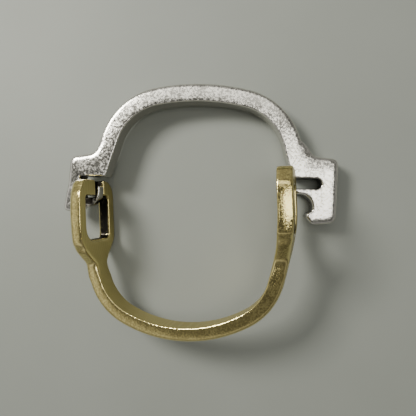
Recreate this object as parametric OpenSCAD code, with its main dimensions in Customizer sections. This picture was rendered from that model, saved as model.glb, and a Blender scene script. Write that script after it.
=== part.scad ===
// Two-piece cast metal disentanglement puzzle: a bright arch with hooked ends, linked
// through the eye of a yellow U-shaped piece. Both lie on a flat surface at Z = 0, with
// +X to the right, +Y towards the arch's crown and the origin under the middle of the pair.

/* [Silver arch] */
// Thickness of the arch and its blocks, across the plane of the arch
arch_depth = 5.2; // [5.1:0.1:5.4]
// Width of the arch band, in its own plane
arch_width = 4.2; // [3.6:0.1:4.6]
// Distance from the arch's base line to the middle of its crown
crown_height = 27; // [26.5:0.5:27.5]
// Radius of the flat crown, at the middle of the band
crown_radius = 49; // [46:1:52]
// Half of the angle that the crown spans
crown_half_angle = 12.5; // [12:0.5:13]
// Radius of the shoulders, at the middle of the band
shoulder_radius = 14.5; // [14:0.5:15]
// Angle that each leg leans outward
leg_lean = 17; // [16:0.5:18]

/* [Silver hooks] */
// Thickness of the left finger and its claw, across the plane of the arch
claw_depth = 2.9; // [2.4:0.1:3]
// Width of the claw
claw_width = 0.75; // [0.6:0.05:0.8]
// Gap between the claw's tip and the foot of the leg
gate_gap = 2.2; // [1.8:0.1:2.4]
// Width of the slot in the right block
slot_width = 2.4; // [2:0.1:2.6]
// Radius of the notch under the right finger
notch_radius = 2.95; // [2.6:0.05:3]

/* [Gold piece] */
// Thickness of the band and of both eyes
band_thickness = 3.2; // [3:0.05:3.3]
// Width of the band, across the plane of the U
band_width = 5.4; // [4.6:0.1:6]
// Distance between the inner faces of the two eyes
eye_spacing = 42.4; // [42.2:0.1:42.6]
// Height of each eye, across the plane of the U
eye_height = 15.4; // [15.2:0.1:15.6]
// Corner radius of the eyes
eye_corner = 3.8; // [3:0.1:4.5]
// Height of the hole in each eye, across the plane of the U
hole_height = 10.4; // [10:0.1:10.8]
// Length of the hole in each eye, along the arm
hole_length = 10.2; // [9.8:0.1:10.4]
// Depth of the groove across the left eye's rim, where the claw lies
groove_depth = 1.75; // [1.7:0.05:1.9]
// Width of that groove
groove_width = 3.9; // [3.8:0.1:4.1]
// Radius of the bottom of the U, at the middle of the band
bottom_radius = 30; // [29:0.5:30]
// Half of the angle that the bottom of the U spans
bottom_half_angle = 28; // [27:0.5:28.5]
// Radius of the lower corners of the U, at the middle of the band
corner_radius = 13.2; // [12.8:0.1:13.4]
// Angle that each arm leans outward, from the corner to the eye
arm_lean = 16; // [15:0.5:17]
// Radius of the bend where each arm runs into its eye
arm_bend_r = 36; // [30:1:38]
// How far the bottom of the U lies to the left of the middle between the eyes
bottom_shift = 0.7; // [0.5:0.05:0.75]

/* [Resting pose] */
// Tilt of the silver arch, whose claw lies on the edge of the groove
silver_tilt = 2.95; // [2.95:0.05:3.1]
// Turn of the silver arch about the vertical
silver_turn = -4.9; // [-5.1:0.1:-4.7]
// Tilt of the gold piece, whose right eye lies on the silver finger
gold_tilt = 7.3; // [7.3:0.05:7.5]

/* [Hidden] */

// Places of the two pieces on the surface
silver_edge_x = 28.8;          // where the right block's lower edge touches the surface
silver_reach = 31.9;           // from the arch's middle to that edge
silver_y = -2.9;
gold_edge_x = -28.1;           // where the left eye's lower edge touches the surface
middle = [-2.41, -0.1];        // middle of the pair's outline

// Silver arch, in its own plane, with its middle at x = 0
crown_centre = [0, crown_height - crown_radius];
shoulder_centre = crown_centre
    + (crown_radius - shoulder_radius) * [sin(crown_half_angle), cos(crown_half_angle)];
leg_start = shoulder_centre + shoulder_radius * [cos(leg_lean), sin(leg_lean)];
half_width = arch_width / 2 / cos(leg_lean);

// Left hook, drawn on the right of the arch and then mirrored
foot_y = 6.6;                  // underside of the leg
cavity_x = 28.1;               // outer wall of the space inside the hook
cavity_r = 1.1;
finger_y = [-0.9, 1.5];        // lower and upper edges of the finger
claw_x = 23.1;                 // outer side of the claw
claw_bend_r = 3.7;             // outer bend from the finger to the claw
claw_tip_r = 0.4;
finger_root = 0.4;             // stub of full depth that the finger keeps beside the block
left_bottom = [30.7, -0.9];    // centres and radii of the block's rounded corners
left_bottom_r = 1.3;
left_side = [31.1, 5];         // where the block's outer side bends
left_top = [29.4, 9.9];
left_top_r = 1.5;
left_fillet = [26.6, 14.3];    // where the block runs into the leg
left_fillet_r = 2.4;

// Right hook
slot_y = 6.75;                 // middle of the slot
slot_end_x = 28.3;
point_x = 21.4;                // point of the finger
point_width = 0.3;
notch = [23.5, 1.35];          // centre of the notch
lip = [25.95, -0.6];
lip_r = 0.9;
foot = [27.3, -1.3];
right_bottom = [30.5, -0.8];
block_r = 1.4;
right_top = [30.4, 11.3];
right_top_r = 1.5;
right_fillet = [27.9, 15.6];
right_fillet_r = 2.7;

// Gold piece, with the middle of its bottom at x = 0 and z = 0
right_eye_x = (eye_spacing + band_thickness) / 2 + bottom_shift;
left_eye_x = (eye_spacing + band_thickness) / 2 - bottom_shift;
eye_top = 7.5;
hole_top = 3.85;
hole_corner = 0.9;
hole_large_corner = 3;
groove_bottom = -3.1;
left_shoulder = [-7.4, -12];   // where the left eye starts and stops narrowing
right_shoulder = [-5.8, -11.6];
bottom_y = -27.6;
bottom_centre = [0, bottom_y + bottom_radius];
corner_centre = bottom_centre
    + (bottom_radius - corner_radius) * [sin(bottom_half_angle), -cos(bottom_half_angle)];
arm_start = corner_centre + corner_radius * [cos(arm_lean), -sin(arm_lean)];
clear = 40;                    // length of a cutting shape, past any wall
past = 1;                      // how far one runs past the face that it opens

// Points along an arc from angle a0 to angle a1, without the first and last "skip" of them
function arc(centre, r, a0, a1, n = 10, skip = 0) =
    [for (i = [skip:n - skip]) let (a = a0 + (a1 - a0) * i / n) centre + r * [cos(a), sin(a)]];

function reversed(points) = [for (i = [len(points) - 1:-1:0]) points[i]];

function mirrored(points) = [for (p = points) [-p[0], p[1]]];

// Inner edge of the right leg at height y
function leg_inside(y) = leg_start[0] + (leg_start[1] - y) * tan(leg_lean) - half_width;

// One edge of the arch from its right leg over the crown to its left leg
function arch_edge(side) =
    let (shoulder = arc(shoulder_centre, shoulder_radius + side * arch_width / 2,
            leg_lean, 90 - crown_half_angle, 14),
        crown = arc(crown_centre, crown_radius + side * arch_width / 2,
            90 - crown_half_angle, 90 + crown_half_angle, 16, 1))
    concat(shoulder, crown, mirrored(reversed(shoulder)));

// The C-shaped hook, from the leg's inner edge round to its outer edge
function left_hook() =
    let (wall = cavity_x - cavity_r / 2,
        claw_inside = claw_x + claw_width,
        tip_y = foot_y - gate_gap)
    concat(
        [[leg_inside(foot_y), foot_y]],
        arc([wall, foot_y - cavity_r / 2], cavity_r / 2, 90, 0),
        arc([cavity_x - cavity_r, finger_y[1] + cavity_r], cavity_r, 0, -90),
        arc([claw_inside + cavity_r, finger_y[1] + cavity_r], cavity_r, -90, -180),
        [[claw_inside, tip_y - claw_tip_r], [claw_inside - claw_tip_r / 2, tip_y],
            [claw_x, tip_y - claw_tip_r / 2]],
        arc([claw_x + claw_bend_r, finger_y[0] + claw_bend_r], claw_bend_r, 180, 270, 16),
        arc(left_bottom, left_bottom_r, 270, 350),
        [left_side],
        arc(left_top, left_top_r, 0, 80),
        arc(left_fillet, left_fillet_r, 260, 198)
    );

// The slotted block with its pointed finger, from the leg's inner edge round to its outer edge
function right_hook() =
    let (slot_r = slot_width / 2)
    concat(
        [[leg_inside(slot_y + slot_r), slot_y + slot_r]],
        arc([slot_end_x - slot_r, slot_y], slot_r, 90, -90),
        [[point_x, slot_y - slot_r], [point_x, slot_y - slot_r - point_width]],
        arc(notch, notch_radius, 100, -15),
        arc(lip, lip_r, 100, 210),
        arc(foot, block_r, 235, 265),
        arc(right_bottom, block_r, 280, 360),
        arc(right_top, right_top_r, 0, 84),
        arc(right_fillet, right_fillet_r, 264, 200)
    );

module silver_shape() {
    difference() {
        linear_extrude(arch_depth)
            polygon(concat(arch_edge(1), mirrored(reversed(left_hook())),
                reversed(arch_edge(-1)), right_hook()));
        // the space under the left finger and its claw, which are thinner than the block
        translate([finger_root - cavity_x, -clear, -past])
            cube([cavity_x - claw_x, clear + foot_y - gate_gap / 2, arch_depth - claw_depth + past]);
    }
}

module silver_hooked_arch() {
    color("silver")
        translate([silver_edge_x - middle[0], silver_y - middle[1], 0])
            rotate([0, 0, silver_turn])
                rotate([0, silver_tilt, 0])
                    translate([-silver_reach, 0, 0])
                        silver_shape();
}

// One face of an arm whose eye is at eye_x, from the top of the eye to the bottom of the U
function arm_edge(side, eye_x) =
    let (bend_y = arm_start[1] + (eye_x - arm_start[0]) / tan(arm_lean) + arm_bend_r * tan(arm_lean / 2))
    concat(
        [[eye_x + side * band_thickness / 2, eye_top + past]],
        arc([eye_x - arm_bend_r, bend_y], arm_bend_r + side * band_thickness / 2, 0, -arm_lean, 12),
        arc(corner_centre, corner_radius + side * band_thickness / 2,
            -arm_lean, bottom_half_angle - 90, 12)
    );

// One face of the U's band, from the top of the right eye to the top of the left one
function band_edge(side) =
    concat(
        arm_edge(side, right_eye_x),
        arc(bottom_centre, bottom_radius + side * band_thickness / 2,
            bottom_half_angle - 90, -90 - bottom_half_angle, 18, 1),
        mirrored(reversed(arm_edge(side, left_eye_x)))
    );

// Side view of an arm: a rounded eye that narrows to the band. y runs along the arm
module arm_profile(shoulder) {
    high = eye_height / 2;
    low = band_width / 2;
    polygon(concat(
        [[-clear, -low], [shoulder[1], -low], [shoulder[0], -high]],
        arc([eye_top - eye_corner, -high + eye_corner], eye_corner, -90, 0),
        arc([eye_top - eye_corner, high - eye_corner], eye_corner, 0, 90),
        [[shoulder[0], high], [shoulder[1], low], [-clear, low]]
    ));
}

module hole_profile() {
    high = hole_height / 2;
    low_y = hole_top - hole_length;
    polygon(concat(
        arc([low_y + hole_corner, -high + hole_corner], hole_corner, 180, 270, 6),
        arc([hole_top - hole_corner, -high + hole_corner], hole_corner, 270, 360, 6),
        arc([hole_top - hole_corner, high - hole_corner], hole_corner, 0, 90, 6),
        arc([low_y + hole_large_corner, high - hole_large_corner], hole_large_corner, 90, 180, 12)
    ));
}

// A profile drawn in Y and Z, run through from x = 0 to the right
module across() {
    rotate([90, 0, 90])
        linear_extrude(clear)
            children();
}

module gold_shape() {
    difference() {
        intersection() {
            translate([0, 0, -eye_height / 2 - past])
                linear_extrude(eye_height + 2 * past)
                    polygon(concat(band_edge(1), reversed(band_edge(-1))));
            union() {
                across() arm_profile(right_shoulder);
                mirror([1, 0, 0]) across() arm_profile(left_shoulder);
            }
        }
        across() hole_profile();
        mirror([1, 0, 0]) across() hole_profile();
        // groove for the claw, across the inner side of the left rim
        translate([-left_eye_x + band_thickness / 2 - groove_depth, hole_top - past, groove_bottom])
            cube([groove_depth + past, eye_top - hole_top + 2 * past, groove_width]);
    }
}

module gold_eyed_loop() {
    color("gold")
        translate([gold_edge_x - middle[0], -middle[1], 0])
            rotate([0, -gold_tilt, 0])
                translate([left_eye_x + band_thickness / 2, 0, eye_height / 2])
                    gold_shape();
}

silver_hooked_arch();
gold_eyed_loop();
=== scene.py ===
"""Looks of a two-piece cast metal disentanglement puzzle, lying on a pale table."""

import math

import bmesh
import bpy
import numpy as np
from mathutils import Matrix, Vector


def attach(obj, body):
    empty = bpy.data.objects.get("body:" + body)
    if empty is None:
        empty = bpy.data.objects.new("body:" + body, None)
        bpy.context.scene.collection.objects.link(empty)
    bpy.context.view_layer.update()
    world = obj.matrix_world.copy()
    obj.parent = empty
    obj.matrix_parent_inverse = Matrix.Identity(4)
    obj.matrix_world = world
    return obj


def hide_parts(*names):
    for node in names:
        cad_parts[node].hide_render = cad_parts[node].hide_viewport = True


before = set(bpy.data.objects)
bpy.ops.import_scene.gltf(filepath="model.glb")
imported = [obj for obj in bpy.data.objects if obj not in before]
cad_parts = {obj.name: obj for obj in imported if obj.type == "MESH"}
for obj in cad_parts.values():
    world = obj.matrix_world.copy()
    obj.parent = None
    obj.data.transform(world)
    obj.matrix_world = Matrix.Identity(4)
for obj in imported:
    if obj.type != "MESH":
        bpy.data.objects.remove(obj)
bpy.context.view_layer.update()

MM = 0.001

# Lengths here are in mm and angles in degrees. The first three groups are as in the CAD model.

# How the two pieces lie
SILVER_EDGE = (31.21, -2.8, 0)      # where the right block's lower edge touches the table
SILVER_REACH = 31.9                 # from the arch's middle to that edge
SILVER_TILT = 2.95
SILVER_TURN = -4.9
GOLD_EDGE = (-25.69, 0.1, 0)        # where the left eye's lower edge touches the table
GOLD_MIDDLE = (23.7, 0, 7.7)        # from that edge to the origin of the U's own plane
GOLD_TILT = 7.3

# The arch: half its width, its depth, and the middle line of its band. Arcs are a centre and a radius
ARCH_HALF = 2.1
ARCH_DEPTH = 5.2
CROWN = (0, -22, 49)
CROWN_HALF_ANGLE = 12.5
SHOULDER = (7.467, 11.682, 14.5)
LEG_LEAN = 17
NOTCH = (23.5, 1.35, 2.95)          # in the right block

# The U: half its thickness and its width, and the middle line of its band
LOOP_HALF = 1.6
LOOP_WIDTH = 5.4
BOTTOM = (0, 2.4, 30)
BOTTOM_HALF_ANGLE = 28
CORNER = (7.887, -12.433, 13.2)
ARM_START = (20.576, -16.07)
ARM_LEAN = 16
RIGHT_EYE_X = 23.5
LEFT_EYE_X = 22.1
HOLE_Y = (-6.35, 3.85)
HOLE_HALF_HEIGHT = 5.2
GROOVE_Z = (-3.1, 0.8)              # groove for the claw
GROOVE_BOTTOM_X = -22.25

# Fades: where each one starts and where it is complete, in the piece's own plane
ARCH_BAND_Y = (13, 17)              # from the arch's blocks to its plain band
ARCH_CROWNED_Y = (9, 15)
LOOP_EYES_Y = (-17, -14.5)          # from the U's plain band to its eyes
EYE_CROWNED_Y = (-12, -9)
EYE_CROWNED_Z = (5.5, 7.5)

# Casting
WELD = 1e-7                         # points closer than this are one point, in m
VOXEL = 0.13                        # mesh size of the rounded castings
FEWEST_PASSES = 8                   # smoothing passes on a crisp edge
MOST_PASSES = 170                   # and on the most rounded one
STEP_SHARE = 0.5                    # share of the way that a point moves in a pass
EDGE_DEPTH = 0.16                   # how far an edge is worn back before it counts as polished
OUTER_ROUND = 0.8                   # radius of the outer edges of a band
INNER_ROUND = 0.25                  # and of its inner edges
STRAY = 0.2                         # how far outside a band's face a point may be and still belong
ARCH_FALL = 0.22                    # how far the arch's upper face falls away at its outer side
LOOP_FALL = 0.5                     # and the U's
EYE_MIDDLE_Y = -1.2                 # where the upper edge of an eye is highest
EYE_FALL = 0.013                    # its fall, times the square of the distance from there
EYE_REACH = 7                       # farther away than this it falls no more
ACROSS_MOST = 1.2                   # limit on how far across a band a point counts as being
STEEP = (0.3, 0.7)                  # upward part of the normal on a wall, and on a face

# Share of the most smoothing that each region gets, on top of what it gets everywhere
ARCH_SMOOTHING = {"everywhere": 0.1, "beside_blocks": 0.75, "block_sides": 0.85, "foot": 0.85,
                  "notch": 0.3}
LOOP_SMOOTHING = {"everywhere": 0.2, "left_eye": 0.85, "shoulders": 0.6}

# Regions of the arch with a dark patina and painted shade: the fades at the start and at the end,
# across and along it.
# The hook's and its finger's are counted to the left. The finger is darkened through its whole depth,
# upper face included, as painted shade.
SLOT = ((19.5, 20.5), (28.4, 28.9)), ((5.1, 5.5), (7.95, 8.3))
HOOK = ((23.7, 24.0), (28.15, 28.6)), ((-0.2, 0.4), (6.6, 7.1))
LEFT_FINGER_SHADE = ((24.2, 24.8), (28.0, 28.6)), ((-0.7, 0.1), (4, 5))
NOTCH_PATINA_AND_SHADE = 0.8                  # a little less than in the others
UPPER_FACE_Z = (4.5, 5.0)           # where the patina and painted shade give way to the upper face

# How far the U's patina and painted shade reach. They fade out short of the faces, and past the holes
# and the groove
SHORT_OF_FACE = (0.55, 0.2)
PAST_HOLE = (0.2, 0.5)
PAST_GROOVE = 0.3
GROOVE_MOUTH_X = (-21.1, -20.8)
GROOVE_START_Y = (3, 3.5)

# Metals: colours, roughness, grain per mm, and strength of the two bumps
# dark colour of the patina and of the painted shade in the recesses
PATINA_AND_SHADE_COLOUR = (0.018, 0.016, 0.013, 1)
SILVER_FINISH = {
    "bright": (0.96, 0.935, 0.84, 1), "dark": (0.38, 0.37, 0.33, 1),
    "edge": (0.84, 0.82, 0.76, 1), "side": (0.62, 0.60, 0.55, 1),
    "rough": 0.19, "rough_edge": 0.13, "rough_side": 0.12,
    "grain": 1.9, "speckle_bump": 0.28, "wave_bump": 0.04}
GOLD_FINISH = {
    "bright": (0.80, 0.68, 0.28, 1), "dark": (0.52, 0.43, 0.17, 1),
    "edge": (0.92, 0.79, 0.36, 1), "side": (0.50, 0.425, 0.17, 1),
    "rough": 0.13, "rough_edge": 0.08, "rough_side": 0.42,
    "grain": 2.6, "speckle_bump": 0.28, "wave_bump": 0.06}
PATCH_SCALE = 0.28                  # of the broad patches, per mm
WAVE_SCALE = 0.17                   # of the waves in the polish
FLECK_SCALE = 1.4                   # of the metal that shows through the patina
SPECKLE_HEIGHT = 0.1                # of the bumps at full strength
WAVE_HEIGHT = 2.0
SIDE_CALM = 0.85                    # share of the speckle's bump that the sides lose
EDGE_POLISH = 0.8                   # share of the edge's colour on the most worn edge
PATINA_ROUGH = 0.25                 # roughness that the patina adds

# Table
TABLE_HALF = 600
TABLE_TONES = (0.274, 0.291, 0.258, 1), (0.294, 0.311, 0.278, 1)

# Brightness of the room by the upward part of a direction: 0 is level and 1 straight overhead
ROOM_SHADES = ((0.0, 0.26), (0.20, 0.30), (0.5, 0.66), (0.64, 0.52),
               (0.76, 0.22), (0.90, 0.20), (0.965, 0.14), (1.0, 0.10))
ROOM_TINT = (1, 0.99, 0.94)

# Camera
CAMERA_PLACE = (14.63, -0.62, 99.4)
CAMERA_AIM = (1.56, -0.07, 0)
CAMERA_TURN = -2.4                  # of the picture's upright, from +Y
CAMERA_LENS = 35.05
CAMERA_SENSOR = 36


# ---------------------------------------------------------------- shapes

def placement(place, turn, tilt, middle):
    """Where a piece's own plane lies in the world: x across it, y towards the crown, z its depth."""
    return (Matrix.Translation(place) @ Matrix.Rotation(math.radians(turn), 4, "Z")
            @ Matrix.Rotation(math.radians(tilt), 4, "Y") @ Matrix.Translation(middle))


def moved(points, matrix):
    matrix = np.array(matrix)
    return points @ matrix[:3, :3].T + matrix[:3, 3]


def ramp(value, low, high):
    """0 below low, 1 above high, and smooth between them."""
    t = np.clip((value - low) / (high - low), 0, 1)
    return t * t * (3 - 2 * t)


def within(value, start, end):
    """1 between two fades, and 0 before the first and after the second."""
    return ramp(value, *start) * (1 - ramp(value, *end))


def in_region(across, along, region):
    return within(across, *region[0]) * within(along, *region[1])


def from_arc(x, y, arc):
    """Distance outward from an arc given by its centre and radius."""
    return np.hypot(x - arc[0], y - arc[1]) - arc[2]


def arch_offset(p):
    """Distance outward from the middle line of the arch."""
    x, y = np.abs(p[:, 0]), p[:, 1]
    lean = math.radians(LEG_LEAN)
    leg = (x - SHOULDER[0]) * math.cos(lean) + (y - SHOULDER[1]) * math.sin(lean) - SHOULDER[2]
    in_shoulder = (y - SHOULDER[1]) > (x - SHOULDER[0]) * math.tan(lean)
    in_crown = x < (y - CROWN[1]) * math.tan(math.radians(CROWN_HALF_ANGLE))
    beside_crown = np.where(in_shoulder, from_arc(x, y, SHOULDER), leg)
    return np.where(in_crown, from_arc(x, y, CROWN), beside_crown)


def loop_offset(p):
    """Distance outward from the middle line of the U and its arms."""
    x, y = np.abs(p[:, 0]), p[:, 1]
    eye_x = np.where(p[:, 0] > 0, RIGHT_EYE_X, LEFT_EYE_X)
    arm_x = np.minimum(ARM_START[0] + (y - ARM_START[1]) * math.tan(math.radians(ARM_LEAN)), eye_x)
    in_bottom = x < (BOTTOM[1] - y) * math.tan(math.radians(BOTTOM_HALF_ANGLE))
    below_arm = np.where(in_bottom, from_arc(x, y, BOTTOM), from_arc(x, y, CORNER))
    return np.where(y < ARM_START[1], below_arm, x - arm_x)


def rounded_band(p, offset, half, low, high, weight):
    """The points of a band after the corners of its section are rounded, the outer ones most.

    half is half the band's width, low and high are its two faces, and weight is 1 where it is
    rounded and 0 where it is left as it is.
    """
    step = 0.01     # to find which way is outward
    along_x, along_y = np.array((step, 0, 0)), np.array((0, step, 0))
    outward = np.stack([offset(p + along_x) - offset(p - along_x),
                        offset(p + along_y) - offset(p - along_y)], 1) / (2 * step)
    from_middle, z = offset(p), p[:, 2]
    side = np.sign(from_middle)
    up = np.sign(z - (low + high) / 2)
    radius = np.where(side > 0, OUTER_ROUND, INNER_ROUND)
    across = radius - (half - np.abs(from_middle))
    along = radius - np.minimum(z - low, high - z)
    in_corner = (across > 0) & (along > 0) & (half - np.abs(from_middle) > -STRAY)
    pull = 1 - np.maximum(across, along) / np.maximum(np.hypot(across, along), 1e-9)
    pull = np.where(in_corner, pull, 0) * weight
    result = p.copy()
    result[:, :2] -= outward * (side * across * pull)[:, None]
    result[:, 2] -= up * along * pull
    return result


def silver_corners(p):
    in_band = ramp(p[:, 1], *ARCH_BAND_Y)
    return rounded_band(p, arch_offset, ARCH_HALF, 0, ARCH_DEPTH, in_band)


def gold_corners(p):
    in_band = 1 - ramp(p[:, 1], *LOOP_EYES_Y)
    return rounded_band(p, loop_offset, LOOP_HALF, -LOOP_WIDTH / 2, LOOP_WIDTH / 2, in_band)


def silver_crowning(p):
    """How far the arch's upper face falls away towards its outer side."""
    across = np.clip((arch_offset(p) + ARCH_HALF) / (2 * ARCH_HALF), 0, ACROSS_MOST)
    height = np.clip(p[:, 2] / ARCH_DEPTH, 0, 1)
    return ARCH_FALL * across ** 2 * ramp(p[:, 1], *ARCH_CROWNED_Y) * height


def gold_crowning(p):
    """How far the U's upper edge falls away: to its outer side, and to the ends of its eyes."""
    across = np.clip((loop_offset(p) + LOOP_HALF) / (2 * LOOP_HALF), 0, ACROSS_MOST)
    height = np.clip(p[:, 2] / (LOOP_WIDTH / 2), 0, 1)
    from_eye = np.clip(np.abs(p[:, 1] - EYE_MIDDLE_Y), 0, EYE_REACH)
    in_eye = ramp(p[:, 1], *EYE_CROWNED_Y) * ramp(p[:, 2], *EYE_CROWNED_Z)
    return LOOP_FALL * across ** 2 * height + EYE_FALL * from_eye ** 2 * in_eye


def total_smoothing(where, shares):
    """Smoothing from 0 to 1: the largest share that applies, on top of what applies everywhere."""
    largest = np.maximum.reduce([shares[region] * inside for region, inside in where.items()])
    return np.clip(shares["everywhere"] + largest, 0, 1)


def silver_rounding(p):
    """How much each point of the arch is smoothed: the sides of its blocks most, the rest little."""
    x, y = p[:, 0], p[:, 1]
    where = {
        "beside_blocks": ramp(arch_offset(p), -0.2, 1.3) * within(y, (8, 11), (14, 17)),
        "block_sides": ramp(np.abs(x), 27.5, 30.5) * (1 - ramp(y, 11, 13)),
        "foot": ramp(x, 25.5, 27.5) * (1 - ramp(y, -1.2, 2.5)),
        "notch": ramp(x, 19, 22) * (1 - ramp(from_arc(x, y, NOTCH), 0.65, 1.65))}
    return total_smoothing(where, ARCH_SMOOTHING)


def gold_rounding(p):
    """How much each point of the U is smoothed: the outer side of its left eye most."""
    x, y = p[:, 0], p[:, 1]
    where = {
        "left_eye": ramp(loop_offset(p), -0.2, 1.2) * (x < 0) * ramp(y, -16, -12),
        "shoulders": within(y, (-16, -13), (-7.5, -4.5))}
    return total_smoothing(where, LOOP_SMOOTHING)


def silver_patina_and_shade(p):
    """Where the arch has dark patina and painted shade: in its slot, notch and left hook, and painted
    shade on that finger.
    """
    x, y, z = p[:, 0], p[:, 1], p[:, 2]
    notch = NOTCH_PATINA_AND_SHADE * ramp(x, 20, 21) * (1 - ramp(from_arc(x, y, NOTCH), 0, 0.45))
    walls = np.maximum.reduce([in_region(x, y, SLOT), in_region(-x, y, HOOK), notch])
    # painted shade on the finger at every height, its upper face too
    return np.maximum(walls * (1 - ramp(z, *UPPER_FACE_Z)), in_region(-x, y, LEFT_FINGER_SHADE))


def gold_patina_and_shade(p):
    """Where the U has dark patina and painted shade: the walls of the holes in its eyes, and its
    groove.
    """
    x, y, z = p[:, 0], p[:, 1], p[:, 2]
    near, far = PAST_HOLE
    between_faces = 1 - ramp(np.abs(loop_offset(p)), LOOP_HALF - SHORT_OF_FACE[0],
                             LOOP_HALF - SHORT_OF_FACE[1])
    in_hole = (within(y, (HOLE_Y[0] - far, HOLE_Y[0] - near), (HOLE_Y[1] + near, HOLE_Y[1] + far))
               * (1 - ramp(np.abs(z), HOLE_HALF_HEIGHT + near, HOLE_HALF_HEIGHT + far)))
    groove = (within(z, (GROOVE_Z[0] - PAST_GROOVE, GROOVE_Z[0]),
                     (GROOVE_Z[1], GROOVE_Z[1] + PAST_GROOVE))
              * within(x, (GROOVE_BOTTOM_X - PAST_GROOVE, GROOVE_BOTTOM_X), GROOVE_MOUTH_X)
              * ramp(y, *GROOVE_START_Y))
    return np.maximum(between_faces * in_hole, groove)


def smoothed(points, edges, amount):
    """The points after smoothing along edges, in more passes where the amount is larger."""
    count = len(points)
    a, b = edges[:, 0], edges[:, 1]
    degree = np.bincount(edges.ravel(), minlength=count)[:, None]
    passes = FEWEST_PASSES + (MOST_PASSES - FEWEST_PASSES) * amount[:, None] ** 2
    for step in range(MOST_PASSES):
        weight = STEP_SHARE * np.clip(passes - step, 0, 1)
        total = np.stack([np.bincount(a, points[b, k], count) + np.bincount(b, points[a, k], count)
                          for k in range(3)], 1)
        points = points + weight * (total / degree - points)
    return points


def store(mesh, name, values):
    """Keep a value for each point, which the material reads."""
    attribute = mesh.attributes.new(name, "FLOAT", "POINT")
    attribute.data.foreach_set("value", values.astype(np.float32))


def casting(name, node, place, corners, crowning, rounding, patina_and_shade_mask):
    """A cast piece over a CAD node: the same shape, with its edges rounded as a casting's are."""
    obj = bpy.data.objects.new(name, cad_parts[node].data.copy())
    bpy.context.scene.collection.objects.link(obj)
    cleaner = bmesh.new()
    cleaner.from_mesh(obj.data)
    bmesh.ops.remove_doubles(cleaner, verts=cleaner.verts, dist=WELD)
    cleaner.to_mesh(obj.data)
    cleaner.free()

    obj.data.transform(Matrix.Scale(1 / MM, 4))
    remesh = obj.modifiers.new("voxels", "REMESH")
    remesh.mode = "VOXEL"
    remesh.voxel_size = VOXEL
    evaluated = obj.evaluated_get(bpy.context.evaluated_depsgraph_get())
    obj.data = bpy.data.meshes.new_from_object(evaluated)
    obj.modifiers.clear()

    mesh = obj.data
    start = np.empty(len(mesh.vertices) * 3)
    mesh.vertices.foreach_get("co", start)
    start = start.reshape(-1, 3)
    edges = np.empty(len(mesh.edges) * 2, int)
    mesh.edges.foreach_get("vertices", edges)
    local = moved(start, place.inverted())
    rounded = smoothed(corners(local), edges.reshape(-1, 2), rounding(local))

    # how far each point was worn back, which is most along the edges
    worn = np.clip(np.linalg.norm(rounded - local, axis=1) / EDGE_DEPTH, 0, 1)
    rounded[:, 2] -= crowning(rounded)
    mesh.vertices.foreach_set("co", (moved(rounded, place) * MM).ravel())
    store(mesh, "edge_wear", worn)
    # where the dark patina and painted shade go
    store(mesh, "patina_and_shade_mask", patina_and_shade_mask(local))
    mesh.polygons.foreach_set("use_smooth", np.ones(len(mesh.polygons), bool))
    mesh.update()
    normals = np.empty(len(mesh.vertices) * 3)
    mesh.vertices.foreach_get("normal", normals)
    store(mesh, "wall", 1 - ramp(np.abs(normals[2::3]), *STEEP))
    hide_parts(node)
    return obj


# ---------------------------------------------------------------- materials

class Nodes:
    """A short way to build a node tree."""

    def __init__(self, owner):
        owner.use_nodes = True
        self.tree = owner.node_tree
        self.tree.nodes.clear()

    def add(self, kind, inputs=None, **settings):
        node = self.tree.nodes.new(kind)
        for key, value in settings.items():
            setattr(node, key, value)
        for key, value in (inputs or {}).items():
            self.put(value, node.inputs[key])
        return node

    def put(self, value, socket):
        if isinstance(value, bpy.types.NodeSocket):
            self.tree.links.new(value, socket)
        else:
            socket.default_value = value

    def noise(self, place, scale, detail=3, roughness=0.5):
        return self.add("ShaderNodeTexNoise", {"Vector": place, "Scale": scale, "Detail": detail,
                                               "Roughness": roughness}).outputs["Fac"]

    def remap(self, value, low, high, to_low=0.0, to_high=1.0):
        return self.add("ShaderNodeMapRange", {"Value": value, "From Min": low, "From Max": high,
                                               "To Min": to_low, "To Max": to_high}).outputs["Result"]

    # A mix node has sockets for numbers and for colours, told apart by their place in its lists
    def mix(self, fac, a, b):
        return self.add("ShaderNodeMix", {"Factor": fac, 6: a, 7: b}, data_type="RGBA").outputs[2]

    def mix_values(self, fac, a, b):
        return self.add("ShaderNodeMix", {"Factor": fac, 2: a, 3: b}, data_type="FLOAT").outputs[0]

    def math(self, operation, a, b):
        return self.add("ShaderNodeMath", {0: a, 1: b}, operation=operation).outputs[0]

    def attribute(self, name):
        return self.add("ShaderNodeAttribute", attribute_name=name).outputs["Fac"]

    def place_in_mm(self):
        coordinates = self.add("ShaderNodeTexCoord").outputs["Object"]
        return self.add("ShaderNodeVectorMath", {0: coordinates, 1: (1 / MM,) * 3},
                        operation="MULTIPLY").outputs[0]


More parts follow.
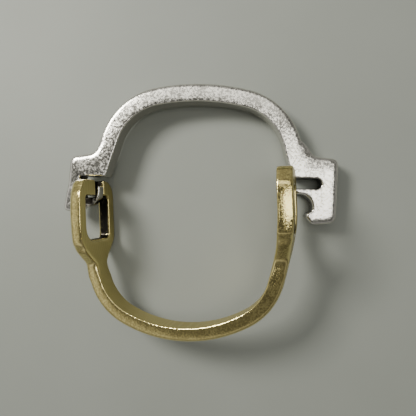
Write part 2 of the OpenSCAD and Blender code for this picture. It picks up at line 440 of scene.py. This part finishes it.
def cast_metal(name, bright, dark, edge, side, rough, rough_edge, rough_side, grain,
               speckle_bump, wave_bump):
    """Plated casting: a satin speckle on its faces, plain on its sides, polished along its edges."""
    material = bpy.data.materials.new(name)
    n = Nodes(material)
    place = n.place_in_mm()
    wear, wall, patina_and_shade_mask = n.attribute("edge_wear"), n.attribute("wall"), n.attribute("patina_and_shade_mask")
    speckle = n.noise(place, grain, 2, 0.6)
    patches = n.noise(place, PATCH_SCALE, 3, 0.55)
    waves = n.noise(place, WAVE_SCALE, 1, 0.4)

    # colour: speckled faces, then the sides, the worn edges, and the patina and painted shade over
    # them
    tone = n.remap(n.math("ADD", speckle, n.math("MULTIPLY", patches, 0.4)), 0.62, 0.80)
    colour = n.mix(tone, dark, bright)
    colour = n.mix(n.math("MULTIPLY", wall, n.remap(patches, 0.3, 0.7, 0.85, 1.0)), colour, side)
    colour = n.mix(n.math("MULTIPLY", wear, EDGE_POLISH), colour, edge)
    # dark patina and painted shade in the recesses, broken by flecks of bare metal
    flecks = n.remap(n.noise(place, FLECK_SCALE, 4, 0.7), 0.62, 0.72)
    patina_and_shade = n.math("MULTIPLY", patina_and_shade_mask, n.math("SUBTRACT", 1.0, flecks))
    colour = n.mix(patina_and_shade, colour, PATINA_AND_SHADE_COLOUR)

    # roughness, which follows the speckle
    satin = n.remap(speckle, 0.3, 0.7, rough - 0.07, rough + 0.09)
    satin = n.math("ADD", satin, n.remap(patches, 0.3, 0.7, -0.04, 0.04))
    satin = n.math("ADD", satin, n.math("MULTIPLY", wall, rough_side - rough))
    satin = n.math("ADD", satin, n.math("MULTIPLY", patina_and_shade, PATINA_ROUGH))
    roughness = n.mix_values(wear, satin, rough_edge)

    # bump: the speckle fades out on the sides, and the waves don't
    tumbled = n.math("SUBTRACT", 1.0, n.math("MULTIPLY", wall, SIDE_CALM))
    fine = n.add("ShaderNodeBump", {
        "Height": speckle, "Strength": n.math("MULTIPLY", tumbled, speckle_bump),
        "Distance": SPECKLE_HEIGHT * MM})
    wavy = n.add("ShaderNodeBump", {
        "Height": waves, "Strength": wave_bump, "Distance": WAVE_HEIGHT * MM,
        "Normal": fine.outputs[0]})
    shader = n.add("ShaderNodeBsdfPrincipled", {
        "Base Color": colour, "Metallic": 1.0, "Roughness": roughness, "Normal": wavy.outputs[0]})
    n.add("ShaderNodeOutputMaterial", {"Surface": shader.outputs[0]})
    return material


def table_material():
    """Pale painted table top with a very faint mottle."""
    material = bpy.data.materials.new("pale_table")
    n = Nodes(material)
    place = n.place_in_mm()
    mottle = n.noise(place, 0.02, 4)
    grain = n.noise(place, 1.6, 3)
    colour = n.mix(n.remap(mottle, 0.35, 0.65), *TABLE_TONES)
    bump = n.add("ShaderNodeBump", {"Height": grain, "Strength": 0.08, "Distance": 0.02 * MM})
    shader = n.add("ShaderNodeBsdfPrincipled", {
        "Base Color": colour, "Roughness": 0.62, "Normal": bump.outputs[0]})
    n.add("ShaderNodeOutputMaterial", {"Surface": shader.outputs[0]})
    return material


# ---------------------------------------------------------------- setting

def table():
    half = TABLE_HALF * MM
    mesh = bpy.data.meshes.new("table")
    mesh.from_pydata([(-half, -half, 0), (half, -half, 0), (half, half, 0), (-half, half, 0)],
                     [], [(0, 1, 2, 3)])
    obj = bpy.data.objects.new("table", mesh)
    bpy.context.scene.collection.objects.link(obj)
    mesh.materials.append(table_material())


def softbox(name, place, aim, size, power, colour=(1, 1, 1)):
    """A rectangular soft light. Its place, aim and size are in metres, and its power is in watts."""
    data = bpy.data.lights.new(name, "AREA")
    data.shape = "RECTANGLE"
    data.size, data.size_y = size
    data.energy = power
    data.color = colour
    obj = bpy.data.objects.new(name, data)
    bpy.context.scene.collection.objects.link(obj)
    obj.location = place
    obj.rotation_mode = "QUATERNION"
    obj.rotation_quaternion = (Vector(aim) - Vector(place)).to_track_quat("-Z", "Y")


def room():
    """The room round the table: brightest at 30 degrees above it and dark straight overhead."""
    world = bpy.data.worlds.new("soft_room")
    n = Nodes(world)
    direction = n.add("ShaderNodeTexCoord").outputs["Generated"]
    split = n.add("ShaderNodeSeparateXYZ", {0: direction})
    height = n.add("ShaderNodeValToRGB", {"Fac": split.outputs["Z"]})
    points = height.color_ramp.elements
    while len(points) < len(ROOM_SHADES):
        points.new(0.5)
    for point, (place, shade) in zip(points, ROOM_SHADES):
        point.position = place
        point.color = (*(shade * tint for tint in ROOM_TINT), 1)

    # its left is brighter than its right, except high up, and its front is a little dimmer
    left = n.remap(split.outputs["X"], -0.95, 0.45, 1.35, 0.5)
    high_up = n.remap(split.outputs["Z"], 0.75, 0.96)
    across = n.mix_values(high_up, left, 1.0)
    front = n.remap(split.outputs["Y"], -0.7, 0.1, 0.8, 0.95)
    background = n.add("ShaderNodeBackground", {
        "Color": height.outputs["Color"], "Strength": n.math("MULTIPLY", across, front)})
    n.add("ShaderNodeOutputWorld", {"Surface": background.outputs[0]})
    bpy.context.scene.world = world


def lights():
    daylight = (1.0, 0.985, 0.94)
    softbox("key", (-0.155, 0.14, 0.22), (0, 0, 0), (0.09, 0.09), 0.92, (1.0, 0.98, 0.92))
    softbox("window", (0.02, 0.24, 0.45), (0, 0.02, 0), (0.34, 0.15), 0.27, daylight)
    softbox("ceiling", (0.15, 0.025, 0.52), (0.01, 0, 0), (0.17, 0.22), 0.47, daylight)
    softbox("strip", (-0.11, -0.01, 0.52), (0, 0, 0), (0.08, 0.05), 0.035)


def camera():
    """The photograph's viewpoint: above the ring, a little to its right."""
    place = Vector(CAMERA_PLACE) * MM
    aim = Vector(CAMERA_AIM) * MM
    turn = math.radians(CAMERA_TURN)
    data = bpy.data.cameras.new("camera")
    data.sensor_width = CAMERA_SENSOR
    data.lens = CAMERA_LENS
    data.clip_start = 0.001
    back = (place - aim).normalized()
    upright = Vector((-math.sin(turn), math.cos(turn), 0))
    right = upright.cross(back).normalized()
    upright = back.cross(right)
    obj = bpy.data.objects.new("camera", data)
    axes = Matrix((right, upright, back)).transposed().to_4x4()
    obj.matrix_world = Matrix.Translation(place) @ axes
    bpy.context.scene.collection.objects.link(obj)
    bpy.context.scene.camera = obj


silver_place = placement(SILVER_EDGE, SILVER_TURN, SILVER_TILT, (-SILVER_REACH, 0, 0))
silver = casting("silver_arch_casting", "silver_hooked_arch", silver_place,
                 silver_corners, silver_crowning, silver_rounding, silver_patina_and_shade)
silver.data.materials.clear()
silver.data.materials.append(cast_metal("tumbled_nickel", **SILVER_FINISH))
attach(silver, "silver_piece")

gold_place = placement(GOLD_EDGE, 0, -GOLD_TILT, GOLD_MIDDLE)
gold = casting("gold_loop_casting", "gold_eyed_loop", gold_place,
               gold_corners, gold_crowning, gold_rounding, gold_patina_and_shade)
gold.data.materials.clear()
gold.data.materials.append(cast_metal("polished_gold_plate", **GOLD_FINISH))
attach(gold, "gold_piece")

table()
room()
lights()
camera()
